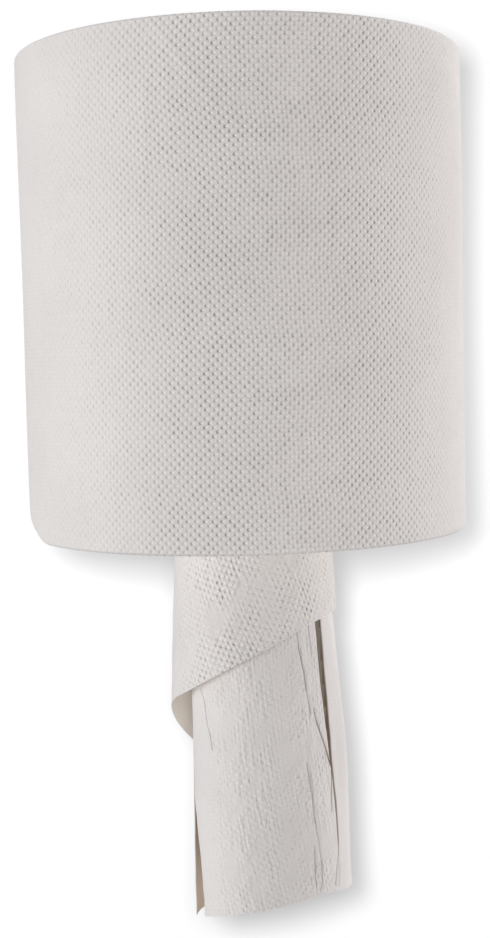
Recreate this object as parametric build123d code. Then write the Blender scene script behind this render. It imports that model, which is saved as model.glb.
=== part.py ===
from build123d import *
from math import cos, radians, sin
import os

# Centre-pull paper towel roll, hanging as it does in a dispenser. All lengths are in millimetres.
# The origin is the centre of the roll's lower end. +Z is up along the roll and -Y is the front.
# It is one long web of paper: a coreless wound roll whose innermost turns are drawn down through
# the lower end as a loose, stepped tube.

# Driving sizes of the wound roll.
roll_diameter = 188.0
web_width = 200.0
bore_diameter = 74.0
rim_ease = 2.2
bore_ease = 1.2
wrap_step = 0.5

# The end faces show the turns as one shallow spiral groove.
groove_width = 0.9
groove_depth = 0.8
groove_pitch = 9.0
groove_margin = 3.5

# The rim is knocked flat over a short stretch at the lower left of the front.
crush_inset = 7.0
crush_rise = 10.0

# The drawn-out paper, two plies with their embossing, and how far the edges of its start stand
# back from the roll's end faces, inside the wall that it leaves.
web_thickness = 0.45
anchor_tuck = 4.0

# The open slit at the right of the tube and the torn gap at its left.
slit_top_width = 4.2
slit_foot_width = 0.6
slit_top_drop = 28.0
slit_foot_drop = 147.0
tear_top_width = 0.4
tear_foot_width = 17.0
tear_top_drop = 96.0
tear_foot_drop = 182.0

# One overrun serves every cut, so that no cutter ends on the face that it cuts.
overrun = 6.0

roll_radius = roll_diameter / 2
bore_radius = bore_diameter / 2
half_web = web_thickness / 2

# Bearings are in degrees round the roll, from the front towards the right.
wrap_end_bearing = 152.0
crush_bearing = -85.0

# Where the web runs on its way in: the angle that it has turned through, from the right over the
# front to the left and the back, then the drop of its hem below the roll as a share of the web
# width, then the hem's and the top edge's distance from the roll's axis as shares of the bore
# radius.
web_path_shares = (
    (-300, 0.000, 1.110, 1.110),
    (-270, 0.001, 0.980, 0.980),
    (-225, 0.006, 0.978, 0.975),
    (-180, 0.019, 0.977, 0.970),
    (-135, 0.045, 0.978, 0.965),
    (-90, 0.085, 0.982, 0.940),
    (-45, 0.134, 0.990, 0.880),
    (0, 0.172, 1.000, 0.815),
    (45, 0.190, 0.970, 0.820),
    (90, 0.240, 0.940, 0.830),
    (135, 0.315, 0.930, 0.780),
    (165, 0.346, 0.945, 0.715),
    (180, 0.368, 0.955, 0.690),
    (200, 0.445, 0.935, 0.700),
    (225, 0.510, 0.905, 0.750),
    (270, 0.610, 0.910, 0.810),
    (315, 0.720, 1.020, 0.845),
    (360, 0.783, 1.122, 0.870),
    (405, 0.767, 1.060, 0.865),
    (450, 0.790, 0.918, 0.840),
    (495, 0.822, 0.790, 0.735),
    (540, 0.855, 0.728, 0.675),
    (585, 0.862, 0.770, 0.715),
    (630, 0.850, 0.870, 0.775),
    (650, 0.846, 0.905, 0.790),
)
start_angle = -300
free_angle = -270
joint_angle = 195
end_angle = 650
strip_angle = 7.5

# Bearings of the slit's two ends and of the tear's two ends.
slit_top_bearing = 52.0
slit_foot_bearing = 63.0
tear_top_bearing = -80.0
tear_foot_bearing = -69.0


def on_path(turn, column):
    """A smooth value between the rows of the path, at any angle turned."""
    rows = web_path_shares
    place = max(k for k in range(len(rows) - 1) if rows[k][0] <= turn)
    before, here, after, beyond = (rows[min(max(place + k, 0), len(rows) - 1)] for k in (-1, 0, 1, 2))
    span = after[0] - here[0]
    share = (turn - here[0]) / span
    slope_here = (after[column] - before[column]) / (after[0] - before[0])
    slope_after = (beyond[column] - here[column]) / (beyond[0] - here[0])
    return (
        here[column] * (1 + 2 * share) * (1 - share) ** 2
        + after[column] * share ** 2 * (3 - 2 * share)
        + span * slope_here * share * (1 - share) ** 2
        - span * slope_after * share ** 2 * (1 - share)
    )


def at_bearing(bearing, radius, height):
    """The point at a bearing, a distance from the axis and a height."""
    return Vector(radius * sin(radians(bearing)), -radius * cos(radians(bearing)), height)


def spread(first, last, step):
    """Evenly spaced values from first to last, about a step apart."""
    count = max(1, round(abs(last - first) / step))
    return [first + (last - first) * k / count for k in range(count + 1)]


def web_section(turn):
    """The web cut through at an angle turned: hem and top edge outside, then top edge and hem inside."""
    tuck = anchor_tuck * max(0, free_angle - turn) / (free_angle - start_angle)
    drop = web_width * on_path(turn, 1)
    hem_radius, top_radius = (bore_radius * on_path(turn, column) for column in (2, 3))
    return [
        at_bearing(90 - turn, hem_radius + half_web, tuck - drop),
        at_bearing(90 - turn, top_radius + half_web, web_width - tuck - drop),
        at_bearing(90 - turn, top_radius - half_web, web_width - tuck - drop),
        at_bearing(90 - turn, hem_radius - half_web, tuck - drop),
    ]


def flat_face(*corners):
    """A flat face between points."""
    return Face(Wire.make_polygon(corners, close=True))


def web_length(first, last):
    """A stretch of the drawn-out web as a thin solid of narrow flat strips between two angles turned."""
    sections = [web_section(turn) for turn in spread(first, last, strip_angle)]
    faces = [flat_face(*sections[0]), flat_face(*sections[-1])]
    for near, far in zip(sections, sections[1:]):
        for corner, point in enumerate(near):
            faces.append(flat_face(near[corner - 1], point, far[corner - 1]))
            faces.append(flat_face(point, far[corner], far[corner - 1]))
    return Solid(Shell(faces))


def slot_cutter(top_bearing, top_drop, top_width, foot_bearing, foot_drop, foot_width):
    """A tapering radial slot through one side of the tube."""
    middle = (top_bearing + foot_bearing) / 2
    outward = at_bearing(middle, 1, 0)
    side = at_bearing(middle + 90, 1, 0)
    reach = bore_radius + overrun
    start = reach * cos(radians(top_bearing - foot_bearing)) / 2

    def corner(bearing, drop, shift):
        along = bore_radius * sin(radians(bearing - middle)) + shift
        return outward * start + side * along + Vector(0, 0, -drop)

    outline = flat_face(
        corner(top_bearing, top_drop, -top_width / 2),
        corner(top_bearing, top_drop, top_width / 2),
        corner(foot_bearing, foot_drop, foot_width / 2),
        corner(foot_bearing, foot_drop, -foot_width / 2),
    )
    return extrude(outline, amount=reach, dir=outward)


def drawn_out_web():
    """The whole drawn-out tube, with its slit and its torn gap."""
    outer_turns = web_length(start_angle, joint_angle)
    inner_turns = web_length(joint_angle, end_angle)
    slit = slot_cutter(slit_top_bearing, slit_top_drop, slit_top_width,
                       slit_foot_bearing, slit_foot_drop, slit_foot_width)
    tear = slot_cutter(tear_top_bearing, tear_top_drop, tear_top_width,
                       tear_foot_bearing, tear_foot_drop, tear_foot_width)
    return outer_turns + (inner_turns - slit - tear)


def half_turns(bearing, first_radius, growth, count, height):
    """Half circles one after another, which together wind outwards by a growth in each full turn."""
    start = at_bearing(bearing, first_radius, height)
    arcs = []
    for half in range(count):
        radius = first_radius + growth * (2 * half + 1) / 4
        across = at_bearing(bearing + 180 * (half + 1), radius, 0)
        middle = start + across + at_bearing(bearing + 180 * half + 90, radius, 0)
        arcs.append(Edge.make_three_point_arc(start, middle, start + across * 2))
        start = start + across * 2
    return arcs


def outer_wrap():
    """A prism whose side winds out by one step over a full turn, so the last wrap shows its end."""
    side = half_turns(wrap_end_bearing, roll_radius - wrap_step, wrap_step, 2, 0)
    step = Edge.make_line(side[-1] @ 1, side[0] @ 0)
    return extrude(Face(Wire(side + [step])), amount=web_width, dir=(0, 0, 1))


def eased_blank():
    """The roll's envelope, a little wider than the wrap, with its rims and its bore's mouths eased."""
    rim_radius = roll_radius + wrap_step / 2
    profile = flat_face(
        (bore_radius, 0, bore_ease),
        (bore_radius + bore_ease, 0, 0),
        (rim_radius - rim_ease, 0, 0),
        (rim_radius, 0, rim_ease),
        (rim_radius, 0, web_width - rim_ease),
        (rim_radius - rim_ease, 0, web_width),
        (bore_radius + bore_ease, 0, web_width),
        (bore_radius, 0, web_width - bore_ease),
    )
    return revolve(profile, Axis.Z)


def spiral_side(offset, floor):
    """One side of the spiral groove, from near the bore out to near the rim."""
    first = bore_radius + groove_margin + offset
    room = roll_radius - crush_inset - groove_margin - first
    return half_turns(90, first, groove_pitch, 2 * round(room / groove_pitch), floor)


def turns_groove(floor, depth):
    """The spiral of the turns, cut from a floor height through a depth."""
    inner, outer = (spiral_side(offset, floor) for offset in (-groove_width / 2, groove_width / 2))
    caps = [
        Edge.make_line(inner[0] @ 0, outer[0] @ 0),
        Edge.make_line(inner[-1] @ 1, outer[-1] @ 1),
    ]
    return extrude(Face(Wire(inner + outer + caps)), amount=depth, dir=(0, 0, 1))


def crushed_corner():
    """The wedge that the flattened stretch of the lower rim has lost."""
    inner = roll_radius - crush_inset
    width = roll_diameter
    outline = flat_face(
        at_bearing(crush_bearing, inner - overrun * crush_inset / crush_rise, -overrun),
        at_bearing(crush_bearing, roll_radius + overrun * crush_inset / crush_rise, crush_rise + overrun),
        at_bearing(crush_bearing, roll_radius + width, crush_rise + overrun),
        at_bearing(crush_bearing, roll_radius + width, -overrun),
    )
    along = at_bearing(crush_bearing + 90, 1, 0)
    return extrude(outline, amount=width / 2, dir=along, both=True)


def wound_roll():
    """The wound body, with its lap, its bore, the turns on both ends and the knocked rim."""
    body = eased_blank() & outer_wrap()
    body -= turns_groove(-overrun, overrun + groove_depth)
    body -= turns_groove(web_width - groove_depth, overrun + groove_depth)
    return body - crushed_corner()


def paper_roll():
    """The roll and its drawn-out paper, one web and so one solid."""
    return wound_roll() + drawn_out_web()


os.makedirs("parts", exist_ok=True)
export_step(paper_roll(), "parts/paper_roll.step")
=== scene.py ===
# %% [markdown]
# A centre-pull paper towel roll. One long web of embossed paper is wound into a roll with no core, and
# its innermost turns are drawn down through the lower end as a loose, stepped tube. The CAD part is the
# fixed frame: everything here is made in metres around it and stays inside its box.

from math import cos, pi, radians

import bmesh
import bpy
import numpy as np
from mathutils import Matrix, Vector


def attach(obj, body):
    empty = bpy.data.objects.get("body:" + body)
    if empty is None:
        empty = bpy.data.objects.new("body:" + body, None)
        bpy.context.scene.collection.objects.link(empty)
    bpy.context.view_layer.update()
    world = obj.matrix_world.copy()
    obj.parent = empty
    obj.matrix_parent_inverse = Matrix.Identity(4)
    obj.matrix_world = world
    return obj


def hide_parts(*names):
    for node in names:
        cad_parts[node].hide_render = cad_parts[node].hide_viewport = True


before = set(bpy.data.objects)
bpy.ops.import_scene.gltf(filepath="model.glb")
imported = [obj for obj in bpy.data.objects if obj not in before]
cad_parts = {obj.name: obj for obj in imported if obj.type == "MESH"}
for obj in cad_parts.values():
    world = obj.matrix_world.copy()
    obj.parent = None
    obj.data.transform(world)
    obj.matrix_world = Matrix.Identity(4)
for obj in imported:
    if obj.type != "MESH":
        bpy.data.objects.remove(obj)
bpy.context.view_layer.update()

# %% [markdown]
# The sizes are those of the part, written in metres. A reader can change one here and watch the roll
# follow, because every mesh below is worked out from them.

# %% Sizes of the roll
MM = 0.001
roll_radius = 94 * MM
bore_radius = 37 * MM
web_width = 200 * MM
wrap_step = 0.5 * MM
rim_round = 2.2 * MM
wrap_end_bearing = 152
print("roll", round(2 * roll_radius / MM), "mm across and", round(web_width / MM), "mm high")

# %% [markdown]
# The camera stands where the photographer stood: in front, a little above the middle of the roll's
# height, tilted down four degrees and turned so that the roll leans slightly. It comes first, because
# each finish below is made to be seen through it. A long lens keeps the roll's sides nearly straight.

# %% Camera
camera_place = Vector((3.645, -658.37, 74.52)) * MM
camera_pan, camera_tilt, camera_lean = 0.0066667, 0.0738744, -0.0251872
lens_pixels, frame_height = 1526.18, 938

camera_data = bpy.data.cameras.new("photo_camera")
camera_data.sensor_fit = "AUTO"
camera_data.sensor_width = 36
camera_data.lens = lens_pixels * camera_data.sensor_width / frame_height
camera_data.clip_start, camera_data.clip_end = 0.01, 20
camera = bpy.data.objects.new("photo_camera", camera_data)
bpy.context.scene.collection.objects.link(camera)
camera.matrix_world = (
    Matrix.Translation(camera_place)
    @ Matrix.Rotation(camera_pan, 4, "Z")
    @ Matrix.Rotation(pi / 2 - camera_tilt, 4, "X")
    @ Matrix.Rotation(camera_lean, 4, "Z")
)
bpy.context.scene.camera = camera
print("lens", round(camera_data.lens, 2), "mm")

# %% [markdown]
# The web is embossed all over with small pits in staggered rows. Pits could be painted on with a bump
# map alone, but a bump leaves the outline and the exported mesh smooth. Here each pit is a vertex of
# the mesh pushed inwards, and the material only sharpens it. Real embossing is uneven, so the depth of
# every pit is drawn at random, and in some patches it fades.

# %% Embossing
dot_gap = 3.318 * MM
rows_across = 120
row_gap = web_width / rows_across
columns_per_dot = 4
pit_depth = 0.34 * MM
depth_draw = (0.6, 1.15)
fade_middle, fade_swing, fade_limits = 0.75, 0.35, (0.15, 1.2)
fade_longest, fade_shortest = 60 * MM, 6 * MM


def smooth(value, low, high):
    """Nought below low, one above high and an even slope between."""
    share = np.clip((value - low) / (high - low), 0, 1)
    return share * share * (3 - 2 * share)


def soft_noise(x, y, waves, longest, shortest, seed):
    """An uneven but smooth field between about -1 and 1: a sum of plane waves."""
    draw = np.random.default_rng(seed)
    total = np.zeros(np.broadcast(x, y).shape)
    for length in np.geomspace(longest, shortest, waves):
        turn, start = draw.uniform(0, 2 * pi, 2)
        total += np.cos(2 * pi * (x * np.cos(turn) + y * np.sin(turn)) / length + start)
    return total / np.sqrt(waves)


def pits(columns, rows, seed):
    """How deep each grid point of an embossed sheet is pushed in: staggered dots, the rest nought."""
    draw = np.random.default_rng(seed)
    i, j = np.meshgrid(np.arange(columns), np.arange(rows), indexing="ij")
    half = columns_per_dot // 2
    is_pit = np.where(j % 2 == 0, i % columns_per_dot == 0, i % columns_per_dot == half)
    x, y = i * dot_gap / columns_per_dot, j * row_gap
    patches = soft_noise(x, y, 9, fade_longest, fade_shortest, seed)
    fade = np.clip(fade_middle + fade_swing * patches, *fade_limits)
    return is_pit * pit_depth * fade * draw.uniform(*depth_draw, is_pit.shape)


print("pits", round(pit_depth / MM, 2), "mm deep,", round(dot_gap / MM, 2), "mm apart")

# %% [markdown]
# Bearings run round the roll from the front towards the right. Every surface below is a grid of points
# at a bearing, a radius and a height, turned into a mesh by one helper. It also keeps the web's own
# coordinates as a UV map, one unit for each dot, so that the material's pits fall on the mesh's pits,
# and as an attribute how much of their depth the dots have at each point, which the material reads.

# %% Grids into meshes
def at_bearing(bearing, radius, height):
    """Points at bearings in degrees, distances from the axis and heights."""
    turn = np.radians(bearing)
    parts = np.broadcast_arrays(radius * np.sin(turn), -radius * np.cos(turn), height)
    return np.stack(parts, axis=-1)


def quads(*corners):
    """Four-sided faces from four arrays of point numbers, anticlockwise as seen from outside."""
    return np.stack([corner.ravel() for corner in corners], axis=-1)


def grid_faces(ids):
    """Faces of a grid of point numbers with the bearing growing along it and the height across."""
    return quads(ids[:-1, :-1], ids[1:, :-1], ids[1:, 1:], ids[:-1, 1:])


def new_piece(name, points, faces, web_places, press, crisp_degrees=40):
    """A mesh object from points and faces, smooth but for edges sharper than an angle."""
    mesh = bpy.data.meshes.new(name)
    mesh.from_pydata(points.reshape(-1, 3).tolist(), [], [face.tolist() for face in faces])
    corners = np.empty(len(mesh.loops), int)
    mesh.loops.foreach_get("vertex_index", corners)
    places = web_places.reshape(-1, 2)[corners]
    mesh.uv_layers.new(name="web").data.foreach_set("uv", places.astype(np.float32).ravel())
    kept = np.broadcast_to(press, points.reshape(-1, 3).shape[:1]).astype(np.float32)
    mesh.attributes.new("press", "FLOAT", "POINT").data.foreach_set("value", kept)
    mesh.validate()
    mesh.set_sharp_from_angle(angle=radians(crisp_degrees))
    piece = bpy.data.objects.new(name, mesh)
    bpy.context.scene.collection.objects.link(piece)
    measure(piece)
    return piece


def measure(piece):
    """Prints a piece's triangles, volume and open edges. A volume above nought: faces outwards."""
    solid = bmesh.new()
    solid.from_mesh(piece.data)
    loose = sum(not edge.is_manifold or not edge.is_contiguous for edge in solid.edges)
    count = sum(len(face.verts) - 2 for face in solid.faces)
    volume = solid.calc_volume(signed=True) / (10 * MM) ** 3
    print(piece.name, count, "triangles,", round(volume, 2), "cm3,", loose, "bad edges")
    solid.free()


# %% [markdown]
# The lower rim has been knocked flat at the left, and the whole roll is very slightly uneven, as
# anything wound from soft paper is. One function moves any point of the roll for both, so the outer
# turn and the wound body under it stay together.

# %% Knocks and unevenness
crush_bearing, crush_inset, crush_rise = -85, 8 * MM, 10 * MM
crush_bend, crush_softness = 1.4, 0.4 * MM
crush_start, crush_full = 0.7, 0.9
crush_depth, skin_depth = 24 * MM, 2 * MM
# Each wave round the roll: its count in a turn, its drift with height, its start and its size.
uneven_waves = ((2, 0, 0.7, 0.16 * MM), (5, 24, 1.1, 0.12 * MM), (11, -60, 0.0, 0.08 * MM))
drawn_in = 0.2 * MM


def knocked(bearing, radius, height):
    """The radius after the knock at the lower left and the roll's slight unevenness."""
    facing = np.cos(np.radians(bearing - crush_bearing))
    below = 1 - height / crush_rise
    flat = roll_radius - crush_inset * np.sign(below) * np.abs(below) ** crush_bend
    over = roll_radius * facing - flat
    # What stands over the flat goes, with a soft bend at its edge.
    push = (over + np.sqrt(over**2 + crush_softness**2)) / 2 * smooth(facing, crush_start, crush_full)
    turn = np.radians(bearing)
    uneven = sum(size * np.cos(count * turn + drift * height + start)
                 for count, drift, start, size in uneven_waves)
    share = smooth(radius, roll_radius - crush_depth, roll_radius - skin_depth)
    return radius + share * (uneven - drawn_in - push)


print("knocked corner", round(crush_inset / MM), "mm deep and", round(crush_rise / MM), "mm high")

# %% [markdown]
# The outer turn of the web. It is one sheet wrapped once round, and where it ends at the back it stands
# a paper's thickness proud of the turn below. Its grid starts and stops at that edge, and its radius
# grows a little all the way round, so the step makes itself. Each rim is rounded over in four small
# facets and tucked under, which leaves no open edge. Where hands and the wrapper have rubbed the roll,
# at its left and right, the pits keep only a share of their depth, called their press.

# %% Outer turn
dots_round = 178
skin_columns = dots_round * columns_per_dot + 1
lip = 3.5 * MM
lip_depth = 1.2 * MM

round_over = [(rim_round * (1 - cos(turn)), rim_round * (1 - np.sin(turn)))
              for turn in np.radians(np.linspace(90, 0, 5))]
side_rows = np.arange(2, rows_across - 1)
inset_rows = np.array([lip, lip] + [inset for inset, _ in round_over])
height_rows = np.array([lip_depth, 0] + [height for _, height in round_over])
insets = np.concatenate([inset_rows, np.zeros(len(side_rows)), inset_rows[::-1]])
heights = np.concatenate([height_rows, side_rows * row_gap, web_width - height_rows[::-1]])
skin_rows = len(insets)

turn_share = np.linspace(0, 1, skin_columns)[:, None]
# The web's outer end isn't quite straight: sizes in degrees, paces along the height and starts.
ragged_waves = ((0.25, 90, 0), (0.15, 310, 1))
ragged_end = sum(size * np.cos(heights * pace + start) for size, pace, start in ragged_waves)
skin_bearing = wrap_end_bearing + 360 * turn_share + ragged_end[None, :]
skin_radius = roll_radius - wrap_step * (1 - turn_share) - insets[None, :]
skin_radius = knocked(skin_bearing, skin_radius, heights[None, :])

# The share of their depth that the dots keep, by bearing.
press_bearings = (-180, -125, -95, -75, -55, -33, -16, 0, 20, 33, 53, 68, 90, 125, 180)
press_shares = (0.85, 0.8, 0.5, 0.32, 0.32, 0.58, 0.85, 1.08, 1.1, 1.0, 0.62, 0.35, 0.5, 0.8, 0.85)
skin_press = np.interp(np.mod(skin_bearing + 180, 360) - 180, press_bearings, press_shares)
all_pits = pits(skin_columns, rows_across + 1, 7)
skin_pits = np.zeros((skin_columns, skin_rows))
skin_pits[:, len(inset_rows):len(inset_rows) + len(side_rows)] = all_pits[:, side_rows]


def ridge(bearing, height, start, end, rise, spread):
    """A raised crease between two places on the roll, each a bearing and a height."""
    scale = np.array([roll_radius * pi / 180, 1.0])
    (x0, y0), (x1, y1) = np.array(start) * scale, np.array(end) * scale
    x, y = (np.mod(bearing + 180, 360) - 180) * scale[0], height
    length = np.hypot(x1 - x0, y1 - y0)
    along = ((x - x0) * (x1 - x0) + (y - y0) * (y1 - y0)) / length
    aside = ((x - x0) * (y1 - y0) - (y - y0) * (x1 - x0)) / length
    fade = 0.3 * length
    ends = smooth(along, 0, fade) * smooth(length - along, 0, fade)
    return rise * ends * np.exp(-((aside / spread) ** 2))


# Each crease: its two ends, its rise and its spread to a side.
roll_creases = (
    ((-19.8, 199 * MM), (-2.5, 163 * MM), 0.32 * MM, 1.3 * MM),
    ((-21.1, 185 * MM), (-22.2, 131 * MM), 0.16 * MM, 1.5 * MM),
    ((-52.0, 33 * MM), (-39.5, 8 * MM), 0.4 * MM, 1.4 * MM),
)
for start, end, rise, spread in roll_creases:
    skin_radius = skin_radius + ridge(skin_bearing, heights[None, :], start, end, rise, spread)

skin_points = at_bearing(skin_bearing, skin_radius - skin_press * skin_pits, heights[None, :])
skin_web = np.stack(np.broadcast_arrays(
    np.arange(skin_columns)[:, None] / columns_per_dot, heights[None, :] / (2 * row_gap)), axis=-1)
skin_ids = np.arange(skin_columns * skin_rows).reshape(skin_columns, skin_rows)
skin_ring = np.concatenate([skin_ids, skin_ids[:, :1]], axis=1)
skin_faces = np.concatenate([
    grid_faces(skin_ring),
    quads(skin_ring[-1, :-1], skin_ring[0, :-1], skin_ring[0, 1:], skin_ring[-1, 1:])])
outer_turn = new_piece("outer_turn", skin_points, skin_faces, skin_web, skin_press.ravel())

# %% [markdown]
# The wound body is what shows at both ends and down the hole. On a real roll the edges of more than a
# hundred turns make each end: fine rings, some standing out a little, others sunk. Modelling every
# turn would cost millions of faces, so the grid carries the broader terraces as slow spirals that wind
# as the web does, and the material draws the single edges between them.

# %% Wound body
body_columns = 356
end_rows, bore_rows = 60, 25
# Each spiral of the ends: the pitch between its turns in millimetres, its size and its start.
spirals = ((2.1, 0.05, 0.3), (3.3, 0.07, 2.2), (5.2, 0.1, 4.0), (9.4, 0.13, 1.2), (23.0, 0.16, 5.1))
# Each wave of the ends: its count in a turn, its drift outwards and its size.
end_waves = ((3, 90, 0.12), (7, -160, 0.09))
relief_top, relief_scale = 0.75, 0.6 * MM
upper_turn = 40


def end_relief(bearing, radius):
    """How far the wound edges stand out from or sink below the end's plane."""
    turn = np.radians(bearing)
    relief = sum(size * np.cos(2 * pi * radius / (pitch * MM) - turn + start)
                 for pitch, size, start in spirals)
    relief = relief + sum(size * np.cos(count * turn + drift * radius)
                          for count, drift, size in end_waves)
    return (relief - relief_top) * relief_scale


mouth_ease, mouth_facet = 1.2 * MM, 0.4 * MM
overlap, sunk_edge = 0.5 * MM, 1.0 * MM
body_edge = roll_radius - lip + overlap
end_radii = np.linspace(bore_radius + mouth_ease, roll_radius - lip - mouth_facet, end_rows)
body_bearing = (wrap_end_bearing + 360 * np.arange(body_columns) / body_columns)[:, None]
lower_relief = -end_relief(body_bearing, end_radii[None, :])
upper_relief = web_width + end_relief(body_bearing + upper_turn, end_radii[None, :])
bore_heights = np.linspace(mouth_ease, web_width - mouth_ease, bore_rows)

ones = np.ones((body_columns, 1))
body_radius = ones * np.concatenate([
    [body_edge], end_radii[::-1], [bore_radius + mouth_facet], np.full(bore_rows, bore_radius),
    [bore_radius + mouth_facet], end_radii, [body_edge]])
body_height = np.concatenate([
    ones * sunk_edge, lower_relief[:, ::-1], ones * mouth_facet, ones * bore_heights,
    ones * (web_width - mouth_facet), upper_relief, ones * (web_width - sunk_edge)], axis=1)
body_radius = knocked(body_bearing, body_radius, np.clip(body_height, 0, web_width))
body_rows = body_radius.shape[1]
body_points = at_bearing(body_bearing, body_radius, body_height)

body_ids = np.arange(body_columns * body_rows).reshape(body_columns, body_rows)
body_ring = np.pad(body_ids, ((0, 1), (0, 1)), mode="wrap")
bore_dots, bore_press = 70, 0.5
body_web = np.stack(np.broadcast_arrays(
    np.arange(body_columns)[:, None] * bore_dots / body_columns, body_height / (2 * row_gap)), axis=-1)
wound_body = new_piece("wound_body", body_points, grid_faces(body_ring)[:, ::-1], body_web, bore_press)

# %% [markdown]
# The drawn-out paper is still the same web. It leaves the wall of the hole and winds inwards and
# downwards, so that its lower edge, the hem, falls in a spiral: a short flap at the front, then a long
# tube. The table gives its path in the part's own figures: the angle turned so far, how far the hem
# hangs below the roll as a share of the web's width, and the distance of hem and top edge from the
# axis as shares of the hole's radius.

# %% Path of the drawn-out web
web_path = np.array([
    (-300, 0.000, 1.110, 1.110), (-270, 0.001, 0.980, 0.980), (-225, 0.006, 0.978, 0.975),
    (-180, 0.019, 0.977, 0.970), (-135, 0.045, 0.978, 0.965), (-90, 0.085, 0.982, 0.940),
    (-45, 0.134, 0.990, 0.880), (0, 0.172, 1.000, 0.815), (45, 0.190, 0.970, 0.820),
    (90, 0.250, 0.940, 0.830), (135, 0.321, 0.930, 0.780), (165, 0.363, 0.945, 0.715),
    (180, 0.392, 0.955, 0.690), (200, 0.445, 0.935, 0.700), (225, 0.510, 0.905, 0.750),
    (270, 0.610, 0.910, 0.810), (315, 0.720, 1.020, 0.845), (360, 0.783, 1.122, 0.870),
    (405, 0.767, 1.060, 0.865), (450, 0.790, 0.918, 0.840), (495, 0.822, 0.790, 0.735),
    (540, 0.855, 0.728, 0.675), (585, 0.862, 0.770, 0.715), (630, 0.850, 0.870, 0.775),
    (650, 0.846, 0.905, 0.790)])
start_angle, free_angle, end_angle = -300, -270, 650
anchor_tuck = 4 * MM


def on_path(turn, column):
    """A smooth value between the rows of the path, at any angle turned."""
    turns, values = web_path[:, 0], web_path[:, column]
    slopes = np.empty(len(turns))
    slopes[1:-1] = (values[2:] - values[:-2]) / (turns[2:] - turns[:-2])
    slopes[0], slopes[-1] = ((values[k + 1] - values[k]) / (turns[k + 1] - turns[k]) for k in (0, -2))
    place = np.clip(np.searchsorted(turns, turn, side="right") - 1, 0, len(turns) - 2)
    span = turns[place + 1] - turns[place]
    share = (turn - turns[place]) / span
    return (values[place] * (1 + 2 * share) * (1 - share) ** 2
            + values[place + 1] * share**2 * (3 - 2 * share)
            + span * slopes[place] * share * (1 - share) ** 2
            - span * slopes[place + 1] * share**2 * (1 - share))


turn_steps = np.linspace(start_angle, end_angle, 4001)
hem_radii = bore_radius * on_path(turn_steps, 2)
run_steps = np.concatenate([[0], np.cumsum(np.radians(np.diff(turn_steps)) * hem_radii[1:])])
web_run = run_steps[-1]
print("drawn-out web is", round(web_run / MM), "mm long round its hem")

# %% [markdown]
# The sheet's grid follows the paper, not the tube: its rows run along the hem, and its columns lean
# with it, because the web is wound at a slant. That turns the rows of dots the way they are turned on
# the real paper. Both faces of the sheet are modelled, less than half a millimetre apart, the inner one
# with fewer columns, so that its edges show a thickness.

# %% Sheet of the drawn-out web
sheet_thickness = 0.42 * MM
dots_along = int(web_run / dot_gap)
sheet_columns = dots_along * columns_per_dot + 1
sheet_rows = rows_across + 1
# The lean of the columns in degrees by the angle turned, evened out over a twelfth of the web.
lean_turns = (-300, -200, 40, 170, 330, 560, 650)
lean_degrees = (0, 8, 24, 24, 12, 11, 0)
lean_parts, lean_reach, settle_start = 12, 90 * MM, 60 * MM


def sheet_places(columns, rows):
    """The angle turned and the height above the hem at each grid point of the sheet."""
    run = np.linspace(0, web_run, columns)[:, None]
    across = np.linspace(0, web_width, rows)[None, :]
    lean = np.radians(np.interp(np.interp(run, run_steps, turn_steps), lean_turns, lean_degrees))
    kernel = np.hanning(columns // lean_parts)
    padded = np.pad(lean[:, 0], len(kernel) // 2, mode="edge")
    lean = np.convolve(padded, kernel / kernel.sum(), mode="same")
    lean = lean[len(kernel) // 2:len(kernel) // 2 + columns, None]
    reach = lean_reach * np.tanh(across / lean_reach)
    turn = np.interp(np.clip(run + reach * np.sin(lean), 0, web_run), run_steps, turn_steps)
    settle = smooth(across, settle_start, web_width)
    return turn, across * ((1 - settle) / np.cos(lean) + settle)


def sheet_points(turn, height, offset):
    """Points of the sheet at an angle turned and a height above the hem, moved out by an offset."""
    tuck = anchor_tuck * np.clip((free_angle - turn) / (free_angle - start_angle), 0, 1)
    radius_share = on_path(turn, 2) + (on_path(turn, 3) - on_path(turn, 2)) * height / web_width
    top = web_width - 2 * tuck
    z = tuck - web_width * on_path(turn, 1) + height * top / web_width
    return at_bearing(90 - turn, bore_radius * radius_share + offset, z)


print("sheet", round(sheet_thickness / MM, 2), "mm thick with", dots_along, "dots along its hem")

# %% [markdown]
# Handling leaves its marks on the tube: long creases down the right of the front, where the paper was
# folded before, and slanting ripples where it was stretched. They are small waves added to the sheet's
# distance from the axis. Each crease is a line between places on the sheet, and a ripple is a wave
# that fades in and out.

# %% Creases and ripples of the drawn-out web
crease_fade = 4 * MM


def crease(turn, z, places, rise, spread):
    """A crease along a line of places, each an angle turned and a height, raised or sunk."""
    turns, drops = np.array(places, float).T
    middle = np.interp(z, drops[::-1] * MM, turns[::-1])
    low, high = drops[-1] * MM, drops[0] * MM
    in_reach = smooth(z, low - crease_fade, low + crease_fade)
    in_reach = in_reach * smooth(-z, -high - crease_fade, crease_fade - high)
    aside = np.radians(turn - middle) * 0.95 * bore_radius
    return rise * in_reach * np.exp(-((aside / spread) ** 2))


# Each crease: the line of its places, its rise and its spread to a side.
long_fold = ((414, -38), (411, -55), (407, -72), (409, -97), (406, -120), (403, -140), (405, -153))
tube_creases = (
    (long_fold, 0.22 * MM, 1.4 * MM),
    (((410, -66), (406, -80), (398, -96), (394, -112), (393, -130)), -0.3 * MM, 1.6 * MM),
    (((498, -66), (490, -78), (484, -92)), 0.2 * MM, 1.4 * MM),
    (((372, -60), (368, -100), (364, -140)), 0.2 * MM, 2.0 * MM),
)


def between(value, start, full, last, end):
    """One from full to last, nought before the start and after the end, and even slopes between."""
    return smooth(value, start, full) * (1 - smooth(value, last, end))


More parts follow.
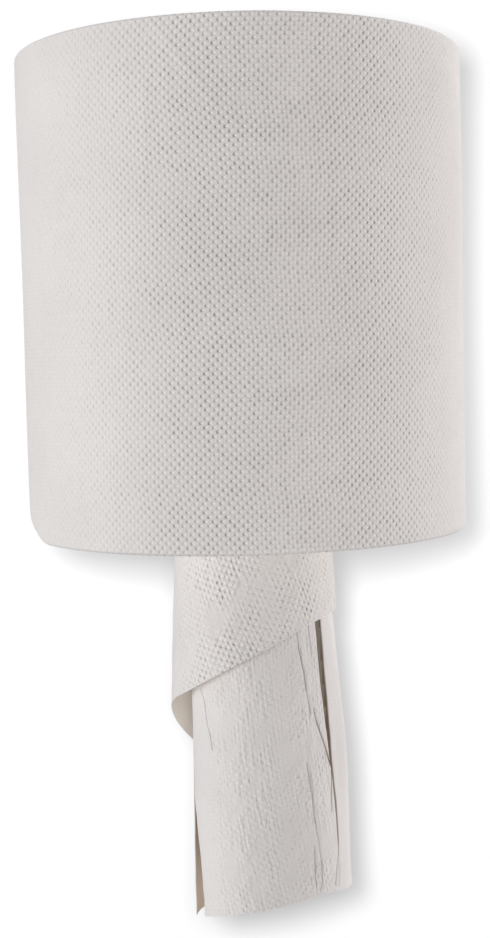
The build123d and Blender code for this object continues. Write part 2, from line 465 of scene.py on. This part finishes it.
ripple_gap, ripple_size = 5.2 * MM, 0.09 * MM
ripple_turns, ripple_drops = (395, 430, 480, 520), (74 * MM, 100 * MM)
belly_turns, belly_size, belly_middle, belly_spread = (335, 350, 370, 384), 1.5 * MM, -100 * MM, 28 * MM
shoulder_size, shoulder_heights = 0.6 * MM, (-60 * MM, -30 * MM)
dent_size, dent_drops = 0.09 * MM, (-5 * MM, 20 * MM)


def ripples(turn, run, z):
    """Slanting ripples low on the front of the tube, in patches."""
    sway = 2 * soft_noise(run, z, 5, 60 * MM, 20 * MM, 5)
    wave = np.cos(2 * pi * (run * 0.9 + z * 0.55) / ripple_gap + sway)
    patch = np.clip(0.3 + 0.7 * soft_noise(run, z, 5, 50 * MM, 18 * MM, 6), 0, 1)
    return ripple_size * smooth(-z, *ripple_drops) * between(turn, *ripple_turns) * wave * patch


def belly(turn, z):
    """The strip at the right of the slit bulges in its middle and is drawn in under the flap."""
    bulge = belly_size * np.exp(-(((z - belly_middle) / belly_spread) ** 2))
    return between(turn, *belly_turns) * (bulge - shoulder_size * smooth(z, *shoulder_heights))


def handling(turn, z):
    """How far creases, ripples and dents move the drawn-out web outwards."""
    run = np.radians(turn) * bore_radius
    moved = sum(crease(turn, z, *line) for line in tube_creases)
    moved = moved + ripples(turn, run, z) + belly(turn, z)
    dents = soft_noise(run, z * 0.6, 7, 50 * MM, 9 * MM, 8)
    return moved + dent_size * smooth(-z, *dent_drops) * dents


turn, height = sheet_places(sheet_columns, sheet_rows)
plain = sheet_points(turn, height, 0)
sheet_pits = pits(sheet_columns, sheet_rows, 11)
print("sheet grid", sheet_columns, "by", sheet_rows, "with", int((sheet_pits > 0).sum()), "pits")

# %% [markdown]
# Stretching and rubbing have pressed the dots out of parts of the tube: they stay deep on the flap, half
# deep down the front of the tube and almost vanish at its sides. A table gives the share of their depth
# that is left by the angle turned, and an uneven field breaks it into patches.

# %% Faces of the sheet
press_turns = (60, 120, 140, 165, 180, 330, 360, 385, 395, 420, 450, 480, 510, 540, 600)
press_left = (1.0, 1.0, 0.75, 0.25, 0.2, 0.25, 0.12, 0.2, 0.5, 0.55, 0.5, 0.4, 0.14, 0.2, 0.5)
patch_middle, patch_swing, patch_limits = 0.8, 0.4, (0.1, 1.15)
patches = patch_middle + patch_swing * soft_noise(turn * 0.6 * MM, height, 7, 45 * MM, 9 * MM, 12)
sheet_press = np.interp(turn, press_turns, press_left) * np.clip(patches, *patch_limits)
sheet_pit_share = 0.5
moved_out = handling(turn, plain[..., 2]) - sheet_pit_share * sheet_press * sheet_pits
outside = sheet_points(turn, height, sheet_thickness / 2 + moved_out)

inner_columns, inner_rows = (sheet_columns - 1) // 2 + 1, 41
inner_turn, inner_height = sheet_places(inner_columns, inner_rows)
inner_plain = sheet_points(inner_turn, inner_height, 0)
inside = sheet_points(inner_turn, inner_height,
                      handling(inner_turn, inner_plain[..., 2]) - sheet_thickness / 2)
print("press from", round(sheet_press.min(), 2), "to", round(sheet_press.max(), 2))

# %% [markdown]
# The two faces have different grids, so the narrow edge between them is laced: each side of an inner
# cell meets two or three sides of outer cells. A closed sheet matters, because the slit and the tear
# are cut next with a boolean, which needs an inside and an outside. The faces are also sorted into three
# slots for the finishes to come: outer face, inner face and edges of the flap, inner face of the tube.

# %% Close the sheet
def lace(fine, coarse):
    """Triangles between a fine and a coarse line of points that start and stop together."""
    ratio = (len(fine) - 1) // (len(coarse) - 1)
    faces = []
    for k in range(len(coarse) - 1):
        middle = k * ratio + ratio // 2
        for m in range(k * ratio, (k + 1) * ratio):
            faces.append((fine[m], fine[m + 1], coarse[k] if m < middle else coarse[k + 1]))
        faces.append((fine[middle], coarse[k + 1], coarse[k]))
    return faces


inner_press = 0.3
flap_end_turn = 330
tube_slots = 3
inner_first = sheet_columns * sheet_rows
outer_ids = np.arange(inner_first).reshape(sheet_columns, sheet_rows)
inner_ids = inner_first + np.arange(inner_columns * inner_rows).reshape(inner_columns, inner_rows)
edge_faces = []
for edge, order in ((np.s_[:, 0], 1), (np.s_[:, -1], -1), (np.s_[0, :], -1), (np.s_[-1, :], 1)):
    edge_faces += [face[::order] for face in lace(outer_ids[edge], inner_ids[edge])]
sheet_faces = (list(grid_faces(outer_ids)[:, ::-1]) + list(grid_faces(inner_ids))
               + [np.array(face) for face in edge_faces])


def web_grid(columns, rows):
    """The web's own coordinates, in dots along it and across it."""
    along = np.linspace(0, dots_along, columns)[:, None]
    across = np.linspace(0, web_width / (2 * row_gap), rows)[None, :]
    return np.stack(np.broadcast_arrays(along, across), axis=-1).reshape(-1, 2)


drawn_tube = new_piece(
    "drawn_tube", np.concatenate([outside.reshape(-1, 3), inside.reshape(-1, 3)]), sheet_faces,
    np.concatenate([web_grid(sheet_columns, sheet_rows), web_grid(inner_columns, inner_rows)]),
    np.concatenate([sheet_press.ravel(), np.full(inner_columns * inner_rows, inner_press)]))
for _ in range(tube_slots):
    drawn_tube.data.materials.append(None)
outer_count = (sheet_columns - 1) * (sheet_rows - 1)
in_tube = (inner_turn[:-1, :-1] > flap_end_turn).ravel()
sides = np.ones(len(sheet_faces), np.int32)
sides[:outer_count] = 0
sides[outer_count:outer_count + len(in_tube)] += in_tube
drawn_tube.data.polygons.foreach_set("material_index", sides)

# %% [markdown]
# Two openings run down the tube: a slit at its right, widest under the flap, with a crack that runs
# into it, and at its left a torn gap that widens to the hem. Finer creases are pressed only halfway
# into the sheet. A cutter for each is a thin closed wedge that lies round the sheet between two edges,
# and a boolean takes it away. Wedges that meet go in turn, because a cutter may not cross itself.

# %% Places of the openings
# Each row is a height in millimetres and the bearings of the left and the right edge.
slit = ((-24, 49.0, 54.9), (-38, 50.1, 56.4), (-50, 50.9, 57.2), (-63, 52.1, 58.2), (-78, 54.5, 59.6),
        (-91, 56.7, 60.5), (-100, 58.8, 61.1), (-107, 59.7, 61.6), (-115, 60.7, 62.9),
        (-123, 61.2, 63.2), (-131, 61.3, 63.0), (-139, 61.2, 62.0))
crack = ((-73.5, 44.2, 44.6), (-80.3, 46.4, 47.4), (-87.3, 50.6, 51.8), (-95.7, 55.3, 56.9),
         (-101, 58.6, 60.4))
slit_branch = ((-99, 58.9, 60.0), (-104.3, 58.5, 59.4), (-109.7, 57.6, 58.5), (-114.8, 57.2, 58.0),
               (-120, 57.1, 57.5))
foot_left = ((-137.5, 61.4, 61.8), (-143.2, 58.8, 59.4), (-151, 56.1, 56.6))
foot_right = ((-138, 61.4, 61.8), (-145, 61.0, 61.4), (-152.5, 59.7, 60.0))
torn_gap = ((-96, -84.4, -83.6), (-113, -86, -79), (-124.5, -86, -68), (-140, -86, -58),
            (-157.5, -86, -52.3), (-190, -86, -51))


def pressed_line(width, *places):
    """The two edges of a crease of a width in degrees, from the places of its middle."""
    return tuple((z, bearing - width / 2, bearing + width / 2) for z, bearing in places)


upper_line = pressed_line(0.8, (-40, 33.0), (-50.5, 35.3), (-57.4, 37.6), (-64.9, 38.9), (-76, 41.6))
short_line = pressed_line(0.7, (-39, 43.5), (-44.9, 44.3), (-51, 45.0))
lower_line = pressed_line(0.8, (-96, 37.2), (-99.7, 37.9), (-109.3, 40.1), (-115.3, 40.4),
                          (-123.8, 41.9), (-131.4, 43.5), (-140.7, 44.6), (-148.8, 44.4), (-151.5, 43.0))
foot_line = pressed_line(0.7, (-132, 40.3), (-143.8, 39.5), (-150, 40.1))
left_line = pressed_line(1.0, (-66, -51.5), (-71.1, -44.9), (-80.8, -42.1), (-84, -38.6), (-91, -36.0))
print("openings", len(slit) + len(torn_gap), "places on the two long ones")

# %% [markdown]
# A wedge knows its heights and bearings, but two turns of the sheet may lie at one bearing, so each
# also gets an angle turned that is near it. The cut faces take the slot of the sheet's edges, or for a
# pressed crease that of the outer face.

# %% Slit and tear
through, halfway = (-1.6 * MM, 0.75 * MM), (-0.1 * MM, 0.75 * MM)
wedge_columns = 7


def wedge(edges, near_turn, reach):
    """Points and faces of a closed wedge that follows the sheet between an opening's edges."""
    z, left, right = np.array(edges, float).T
    bearings = np.linspace(left, right, wedge_columns)
    turns = near_turn + np.mod(90 - bearings - near_turn + 180, 360) - 180
    hang = (z * MM + web_width * on_path(turns, 1)) / web_width
    radius = bore_radius * (on_path(turns, 2) + (on_path(turns, 3) - on_path(turns, 2)) * hang)
    points = np.stack([at_bearing(bearings, radius + offset, z * MM) for offset in reach])
    inner, outer = np.arange(points[..., 0].size).reshape(points.shape[:3])
    faces = [
        quads(outer[:-1, :-1], outer[:-1, 1:], outer[1:, 1:], outer[1:, :-1]), grid_faces(inner),
        quads(inner[0, :-1], inner[0, 1:], outer[0, 1:], outer[0, :-1]),
        quads(outer[-1, :-1], outer[-1, 1:], inner[-1, 1:], inner[-1, :-1]),
        quads(outer[:-1, 0], outer[1:, 0], inner[1:, 0], inner[:-1, 0]),
        quads(inner[:-1, -1], inner[1:, -1], outer[1:, -1], outer[:-1, -1])]
    return points.reshape(-1, 3), np.concatenate(faces)


def cut_away(piece, slot, *wedges):
    """Takes the wedges' space out of the piece for good and gives the cut faces a material slot."""
    points, faces, count = [], [], 0
    for made_points, made_faces in wedges:
        points.append(made_points)
        faces.append(made_faces + count)
        count += len(made_points)
    mesh = bpy.data.meshes.new("cutter")
    mesh.from_pydata(np.concatenate(points).tolist(), [], np.concatenate(faces).tolist())
    for _ in range(tube_slots):
        mesh.materials.append(None)
    mesh.polygons.foreach_set("material_index", np.full(len(mesh.polygons), slot, np.int32))
    cutter = bpy.data.objects.new("cutter", mesh)
    bpy.context.scene.collection.objects.link(cutter)
    cut = piece.modifiers.new("opening", "BOOLEAN")
    cut.operation, cut.solver, cut.material_mode, cut.object = "DIFFERENCE", "EXACT", "INDEX", cutter
    seen = bpy.context.evaluated_depsgraph_get()
    piece.data = bpy.data.meshes.new_from_object(piece.evaluated_get(seen))
    piece.modifiers.clear()
    bpy.data.objects.remove(cutter)
    measure(piece)


cut_away(drawn_tube, 0, wedge(upper_line, 410, halfway), wedge(short_line, 405, halfway),
         wedge(lower_line, 408, halfway), wedge(foot_line, 410, halfway), wedge(left_line, 495, halfway))
cut_away(drawn_tube, 1, wedge(slit, 395, through), wedge(torn_gap, 520, through))
cut_away(drawn_tube, 1, wedge(crack, 400, through), wedge(foot_left, 390, through))
cut_away(drawn_tube, 1, wedge(slit_branch, 392, through), wedge(foot_right, 389, through))

# %% [markdown]
# Tissue paper is matt, a warm grey-white, and never quite one colour. Its shader will be a single
# Principled one. Building it takes many nodes, so three helpers come first: one makes a node with its
# inputs set or linked by name, one links them in their order, one makes a maths node.

# %% Shader helpers
def node(tree, kind, **values):
    """A shader node. Each value is a setting, an input's own value or a socket to link to an input."""
    made = tree.nodes.new(kind)
    for name, value in values.items():
        if name not in made.inputs:
            setattr(made, name, value)
        elif isinstance(value, bpy.types.NodeSocket):
            tree.links.new(value, made.inputs[name])
        else:
            made.inputs[name].default_value = value
    return made


def joined(tree, kind, *sources):
    """The output of a shader node whose inputs are linked to sources in their order."""
    made = node(tree, kind)
    for source, place in zip(sources, made.inputs):
        tree.links.new(source, place)
    return made.outputs[0]


def maths(tree, operation, first, second=None):
    """A maths node on two inputs, each a socket or a number."""
    made = node(tree, "ShaderNodeMath", operation=operation)
    for place, value in enumerate((first, second)):
        if value is None:
            continue
        if isinstance(value, (int, float)):
            made.inputs[place].default_value = value
        else:
            tree.links.new(value, made.inputs[place])
    return made.outputs[0]


# %% [markdown]
# The mesh has one vertex at the bottom of each pit, so its pits are blunt cones. A product of two
# cosines in the web's own coordinates has a peak at each of them. Raised to a power it becomes a narrow
# pit for the bump. The middle of each pit also gets painted shade, a little darker, and the paper between
# the dots of a row a painted highlight, paler. Each dot is drawn a little stronger or weaker than the
# next, and all fade with the press, the painted shade and highlight too.

# %% Dots
dot_strength, dot_least, dot_narrowness, quilt_share = 0.7, 0.55, 2.2, 0.12


def dot_pattern(tree):
    """The dots' relief, the painted shade in the middle of each pit and the painted highlight between the
    dots of a row.
    """
    web = node(tree, "ShaderNodeUVMap", uv_map="web").outputs["UV"]
    u, v, _ = node(tree, "ShaderNodeSeparateXYZ", Vector=web).outputs
    along, across = (maths(tree, "COSINE", maths(tree, "MULTIPLY", place, 2 * pi)) for place in (u, v))
    quilt = maths(tree, "MULTIPLY", along, across)
    cell = (maths(tree, "ROUND", maths(tree, sign, u, v)) for sign in ("ADD", "SUBTRACT"))
    cell = joined(tree, "ShaderNodeCombineXYZ", *cell)
    draw = node(tree, "ShaderNodeTexWhiteNoise", noise_dimensions="3D", Vector=cell)
    strength = maths(tree, "MULTIPLY", draw.outputs["Value"], dot_strength)
    strength = maths(tree, "ADD", strength, dot_least)
    press = node(tree, "ShaderNodeAttribute", attribute_name="press").outputs["Fac"]
    narrow = maths(tree, "POWER", maths(tree, "MAXIMUM", quilt, 0.0), dot_narrowness)
    pit = maths(tree, "MULTIPLY", maths(tree, "MULTIPLY", narrow, strength), press)
    low_quilt = maths(tree, "MULTIPLY", maths(tree, "MULTIPLY", quilt, quilt_share), press)
    relief = maths(tree, "ADD", pit, low_quilt)
    at_dot, in_row = (maths(tree, "MULTIPLY", wave, wave) for wave in (along, across))
    # Painted shade in the middle of each pit, and a painted highlight on the paper between the dots of a
    # row.
    pit_shade = maths(tree, "MULTIPLY", pit, at_dot)
    rise = maths(tree, "MULTIPLY", maths(tree, "SUBTRACT", 1.0, at_dot), in_row)
    return relief, pit_shade, maths(tree, "MULTIPLY", rise, press)


# %% [markdown]
# Two more patterns: where the tube's dots were stretched they join into fine ripples across the web,
# and on the roll's ends the edges of its turns make rings a fraction of a millimetre apart. Both are a
# noise drawn out in one direction, the first in the web's coordinates and the second round the axis.

# %% Ripples and rings
ripple_scale, ripple_press = (2.4, 0.4, 1.0), 0.5
rings_per_metre, ring_drift = 2600.0, 2.5


def streaks(tree):
    """Fine ripples across the web, where its dots were stretched into lines and are half pressed."""
    web = node(tree, "ShaderNodeUVMap", uv_map="web").outputs["UV"]
    stretched = node(tree, "ShaderNodeMapping", Vector=web, Scale=ripple_scale).outputs["Vector"]
    grain = node(tree, "ShaderNodeTexNoise", Vector=stretched, Scale=1.0, Detail=1.0)
    press = node(tree, "ShaderNodeAttribute", attribute_name="press").outputs["Fac"]
    return maths(tree, "MULTIPLY", grain.outputs["Fac"], maths(tree, "MINIMUM", press, ripple_press))


def wound_edges(tree, place):
    """Fine rings for the edges of the turns at the roll's ends."""
    x, y, _ = node(tree, "ShaderNodeSeparateXYZ", Vector=place).outputs
    squares = (maths(tree, "MULTIPLY", side, side) for side in (x, y))
    radius = maths(tree, "SQRT", maths(tree, "ADD", *squares))
    count = maths(tree, "MULTIPLY", radius, rings_per_metre)
    drifts = (maths(tree, "MULTIPLY", maths(tree, "DIVIDE", side, radius), ring_drift) for side in (x, y))
    rings = joined(tree, "ShaderNodeCombineXYZ", count, *drifts)
    return node(tree, "ShaderNodeTexNoise", Vector=rings, Scale=1.0, Detail=2.0).outputs["Fac"]


# %% [markdown]
# Now the paper itself: a matt shader with hardly any gloss, whose colour wanders by a few percent
# between a pale and a deep one. Whatever a place needs comes on top of that as a layer of bump, some
# with a tint: dots, with painted shade in their pits and a painted highlight between them, edges of
# turns, with painted shade in the gaps between them, or ripples. A fine noise gives the fibres
# everywhere.

# %% Paper
matt_roughness, low_gloss = 0.95, 0.12
# Each noise is a scale and a detail, and each blotch's a weight too.
broad_blotches, fine_blotches = (22.0, 3.0, 0.7), (420.0, 2.0, 0.3)
dot_noise, dot_noise_least, fibre_noise, fibre_height = (130.0, 2.0), 0.45, (1500.0, 3.0), 0.03 * MM
shade_range, gap_shade_range = (0.35, 0.65), (0.52, 0.36)
# Tints: painted shade in the gaps between the wound turns and in the pits, a painted highlight between
# the dots of a row.
gap_shade_tint, pit_shade_tint, painted_highlight_tint = (0.80, 0.78, 0.76), (0.3, 0.28, 0.26), (1.16, 1.16, 1.16)


def tinted(tree, colour, tint, share):
    """A colour multiplied by a tint, by a share that may be a socket."""
    made = node(tree, "ShaderNodeMix", data_type="RGBA", blend_type="MULTIPLY",
                Factor=share, A=colour, B=(*tint, 1))
    return made.outputs["Result"]


def paper(name, pale, deep, dots=0.0, pit_shading=0.0, turns=0.0, ripples=0.0):
    """Matt paper between two near colours. Dots, turns and ripples are the heights of their bumps; the
    pit shading is how much painted shade darkens the pits.
    """
    made = bpy.data.materials.new(name)
    made.use_nodes = True
    tree = made.node_tree
    shader = tree.nodes["Principled BSDF"]
    shader.inputs["Roughness"].default_value = matt_roughness
    shader.inputs["Specular IOR Level"].default_value = low_gloss
    place = node(tree, "ShaderNodeTexCoord").outputs["Object"]

    def noise(scale, detail):
        return node(tree, "ShaderNodeTexNoise", Vector=place, Scale=scale, Detail=detail).outputs["Fac"]

    blotches = maths(tree, "ADD", *(maths(tree, "MULTIPLY", noise(scale, detail), weight)
                                    for scale, detail, weight in (broad_blotches, fine_blotches)))
    shades = node(tree, "ShaderNodeValToRGB", Fac=blotches)
    for stop, position, shade in zip(shades.color_ramp.elements, shade_range, (deep, pale)):
        stop.position, stop.color = position, (*shade, 1)
    colour = shades.outputs[0]
    layers = []
    if turns:
        edges = wound_edges(tree, place)
        layers.append((edges, turns, False))
        # Painted shade: the paper is tinted darker in the gaps between the edges of the turns.
        gaps = node(tree, "ShaderNodeMapRange", Value=edges)
        gaps.inputs["From Min"].default_value, gaps.inputs["From Max"].default_value = gap_shade_range
        colour = tinted(tree, colour, gap_shade_tint, gaps.outputs["Result"])
    if dots:
        relief, pit_shade, rise = dot_pattern(tree)
        uneven = maths(tree, "ADD", noise(*dot_noise), dot_noise_least)
        layers.append((maths(tree, "MULTIPLY", relief, uneven), dots, True))
        # Painted shade darkens the middle of each pit, and a painted highlight makes the paper between
        # the dots of a row paler.
        dark = maths(tree, "MULTIPLY", maths(tree, "MULTIPLY", pit_shade, uneven), pit_shading)
        colour = tinted(tree, tinted(tree, colour, pit_shade_tint, dark), painted_highlight_tint, rise)
    if ripples:
        layers.append((streaks(tree), ripples, False))
    layers.append((noise(*fibre_noise), fibre_height, False))
    tree.links.new(colour, shader.inputs["Base Color"])
    normal = None
    for field, distance, sunk in layers:
        bump = node(tree, "ShaderNodeBump", invert=sunk, Strength=1.0, Distance=distance, Height=field)
        if normal is not None:
            tree.links.new(normal, bump.inputs["Normal"])
        normal = bump.outputs["Normal"]
    tree.links.new(normal, shader.inputs["Normal"])
    return made


# %% [markdown]
# Five papers from one function. Light reaches the insides only through the sheet and after many bounces
# between its walls, which makes them warmer, and deep in the tube darker too. A renderer would need thin
# translucent walls and much time for that, so the two inner papers carry that light as painted colour:
# painted bounce light, warmer than the paper's own colour, and painted shade, darker, the tube's much
# darker than the flap's. The cut edges of the sheet take the flap's inner paper.

# %% Five papers
paper_pale, paper_deep = (0.741, 0.703, 0.686), (0.696, 0.659, 0.643)
embossed = paper("embossed_paper", paper_pale, paper_deep, dots=0.5 * MM, pit_shading=0.05)
wound = paper("wound_edges_paper", paper_pale, paper_deep, turns=0.28 * MM)
drawn = paper("drawn_out_paper", paper_pale, paper_deep, dots=0.42 * MM, pit_shading=0.06, ripples=1.5 * MM)
# Painted bounce light and painted shade: the inner faces are warmer and darker than the paper's own
# colour.
flap_inside_shade = paper("flap_inside_painted_shade", (0.65, 0.605, 0.555), (0.605, 0.56, 0.51), dots=0.1 * MM)
tube_inside_shade = paper("tube_inside_painted_shade", (0.42, 0.34, 0.265), (0.38, 0.3, 0.23), dots=0.1 * MM)
print("papers", [made.name for made in (embossed, wound, drawn, flap_inside_shade, tube_inside_shade)])

# %% [markdown]
# Each piece is tied to the frame: it rides on the part's one body, stands for its one solid and takes
# the part's paper. The hole's wall belongs to the wound body's mesh but is embossed paper, so those
# rows of its faces get the embossed material. The sheet's three slots get their three papers.

# %% Give each piece its finish and its place
outer_turn.data.materials.append(embossed)
wound_body.data.materials.append(wound)
wound_body.data.materials.append(embossed)
body_row = np.arange(body_columns * body_rows) % body_rows
bore_face = (body_row > end_rows) & (body_row <= end_rows + bore_rows + 1)
wound_body.data.polygons.foreach_set("material_index", bore_face.astype(np.int32))
print("hole's wall has", int(bore_face.sum()), "faces")

for slot, finish in enumerate((drawn, flap_inside_shade, tube_inside_shade)):
    drawn_tube.data.materials[slot] = finish
for piece in (outer_turn, wound_body, drawn_tube):
    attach(piece, "root")
    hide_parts("paper_roll")

# %% [markdown]
# The roll hangs in front of a white sweep: a wall close behind it that curves into a floor below. The
# sweep gives a part of its white itself and takes the rest from lamps near the camera, so where the roll
# hides them a soft grey shadow is left, low and right. It lights nothing, which keeps the roll's own
# shading apart from it. From behind the wall can't be seen, so the roll's back shows.

# %% Sweep
wall_place, floor_place, sweep_radius = 0.1, -0.32, 0.08
wall_top, floor_front, half_width = 1.4, -2.6, 2.4
own_light, matt_grey = 0.378, (0.36, 0.36, 0.365, 1)
profile = [(wall_place, wall_top)]
for turn_down in np.radians(np.linspace(0, 90, 13)):
    profile.append((wall_place - sweep_radius * (1 - np.cos(turn_down)),
                    floor_place + sweep_radius * (1 - np.sin(turn_down))))
profile.append((floor_front, floor_place))
sweep_points = np.array([[(x, y, z) for y, z in profile] for x in (-half_width, half_width)])
sweep_mesh = bpy.data.meshes.new("sweep")
sweep_mesh.from_pydata(sweep_points.reshape(-1, 3).tolist(), [],
                       grid_faces(np.arange(2 * len(profile)).reshape(2, -1))[:, ::-1].tolist())
sweep_mesh.polygons.foreach_set("use_smooth", np.ones(len(profile) - 1, bool))
sweep = bpy.data.objects.new("sweep", sweep_mesh)
bpy.context.scene.collection.objects.link(sweep)
sweep.visible_diffuse = sweep.visible_glossy = sweep.visible_transmission = False
sweep.visible_shadow = False

sweep_white = bpy.data.materials.new("sweep_white")
sweep_white.use_nodes = True
tree = sweep_white.node_tree
tree.nodes.remove(tree.nodes["Principled BSDF"])
own_white = node(tree, "ShaderNodeEmission", Color=(1, 1, 1, 1), Strength=own_light).outputs[0]
matt = node(tree, "ShaderNodeBsdfDiffuse", Color=matt_grey).outputs[0]
front = joined(tree, "ShaderNodeAddShader", own_white, matt)
clear = node(tree, "ShaderNodeBsdfTransparent").outputs[0]
behind = node(tree, "ShaderNodeNewGeometry").outputs["Backfacing"]
shown = joined(tree, "ShaderNodeMixShader", behind, front, clear)
tree.links.new(shown, tree.nodes["Material Output"].inputs["Surface"])
sweep_mesh.materials.append(sweep_white)
print("sweep", round(2 * half_width, 1), "m wide,", round(wall_place / MM), "mm behind the roll's axis")

# %% [markdown]
# Light: a soft lamp at each side leaves the middle of the roll a little darker than its edges, and the
# left one, further to the front, shades every pit from the left. A weak one keeps the left edge bright,
# one in front fills the middle, and lamps behind and above keep the other sides readable. Tissue lets
# light through, so a part of each side lamp is stopped by the wound roll only, not by the drawn-out
# paper. All of these light the paper and nothing else.

# %% Light
def light_group(name, *members):
    """A collection of objects for a lamp to light, or to be stopped by."""
    group = bpy.data.collections.new(name)
    for member in members:
        group.objects.link(member)
    return group


cool, white, warm = (0.95, 0.975, 1.0), (1, 1, 1), (1.0, 0.985, 0.96)
paper_group = light_group("paper_group", outer_turn, wound_body, drawn_tube)
roll_group = light_group("roll_group", outer_turn, wound_body)
sweep_group = light_group("sweep_group", sweep)


def far_lamp(name, bearing, rise, level, spread, colour, group, blockers=None):
    """A soft lamp far away at a bearing and an elevation; a level of 1 shows a colour as written."""
    data = bpy.data.lights.new(name, "SUN")
    data.energy, data.angle, data.color = level * pi, radians(spread), colour
    lamp = bpy.data.objects.new(name, data)
    bpy.context.scene.collection.objects.link(lamp)
    towards = Vector(at_bearing(bearing, cos(radians(rise)), np.sin(radians(rise))).tolist())
    lamp.rotation_mode = "QUATERNION"
    lamp.rotation_quaternion = towards.to_track_quat("Z", "Y")
    lamp.light_linking.receiver_collection = group
    lamp.light_linking.blocker_collection = blockers
    print(name, level)


far_lamp("left_lamp", -61, -9, 0.51, 28, cool, paper_group)
far_lamp("left_edge_lamp", -105, -9, 0.13, 28, cool, paper_group)
far_lamp("right_lamp", 87, -8, 0.41, 30, white, paper_group)
far_lamp("front_lamp", 8, -10, 0.21, 20, warm, paper_group)
far_lamp("back_lamp", 155, 20, 0.5, 40, white, paper_group)
far_lamp("top_lamp", 0, 88, 0.34, 30, white, paper_group)
far_lamp("right_through_lamp", 87, -8, 0.26, 30, white, paper_group, roll_group)
far_lamp("left_through_lamp", -61, -9, 0.16, 28, warm, paper_group, roll_group)

# %% [markdown]
# The sweep has lamps of its own. A small one above and left of the camera throws the shadow low and
# right, a broader one almost at the camera adds the faint halo all round, and one from above lights the
# floor. The first two keep their strength at any distance, so that the sweep is evenly white.

# %% Light on the sweep
far_lamp("floor_lamp", 0, 86, 1.8, 25, white, sweep_group)


def shadow_lamp(name, place, size, energy):
    """A round lamp near the camera, its place and size in millimetres, that lights the sweep evenly."""
    data = bpy.data.lights.new(name, "AREA")
    data.shape, data.size, data.energy, data.use_nodes = "DISK", size * MM, energy, True
    tree = data.node_tree
    even = node(tree, "ShaderNodeLightFalloff", Strength=1.0)
    tree.links.new(even.outputs["Constant"], tree.nodes["Emission"].inputs["Strength"])
    lamp = bpy.data.objects.new(name, data)
    bpy.context.scene.collection.objects.link(lamp)
    lamp.location = camera_place + Vector(place) * MM
    lamp.rotation_mode = "QUATERNION"
    lamp.rotation_quaternion = lamp.location.to_track_quat("Z", "Y")
    lamp.light_linking.receiver_collection = sweep_group
    print(name, energy)


shadow_lamp("shadow_lamp", (-56, 0, 33), 88, 9.3)
shadow_lamp("halo_lamp", (-4, 0, 8), 130, 6.8)

# %% [markdown]
# The world adds a low light from all round, which no shadow is darker than. What the camera sees past
# the sweep, and what a glossy or clear surface would mirror or show, is plain white instead.

# %% World
low_level = 0.2
world = bpy.data.worlds.new("studio")
bpy.context.scene.world = world
world.use_nodes = True
world_tree = world.node_tree
low_light, plain_white = (
    node(world_tree, "ShaderNodeBackground", Color=(1, 1, 1, 1), Strength=level).outputs[0]
    for level in (low_level, 1.0))
rays = node(world_tree, "ShaderNodeLightPath").outputs
seen = maths(world_tree, "MAXIMUM", rays["Is Glossy Ray"], rays["Is Transmission Ray"])
seen = maths(world_tree, "MAXIMUM", rays["Is Camera Ray"], seen)
choice = joined(world_tree, "ShaderNodeMixShader", seen, low_light, plain_white)
world_tree.links.new(choice, world_tree.nodes["World Output"].inputs["Surface"])
bpy.context.scene.view_settings.view_transform = "Standard"
print("world light", low_level)
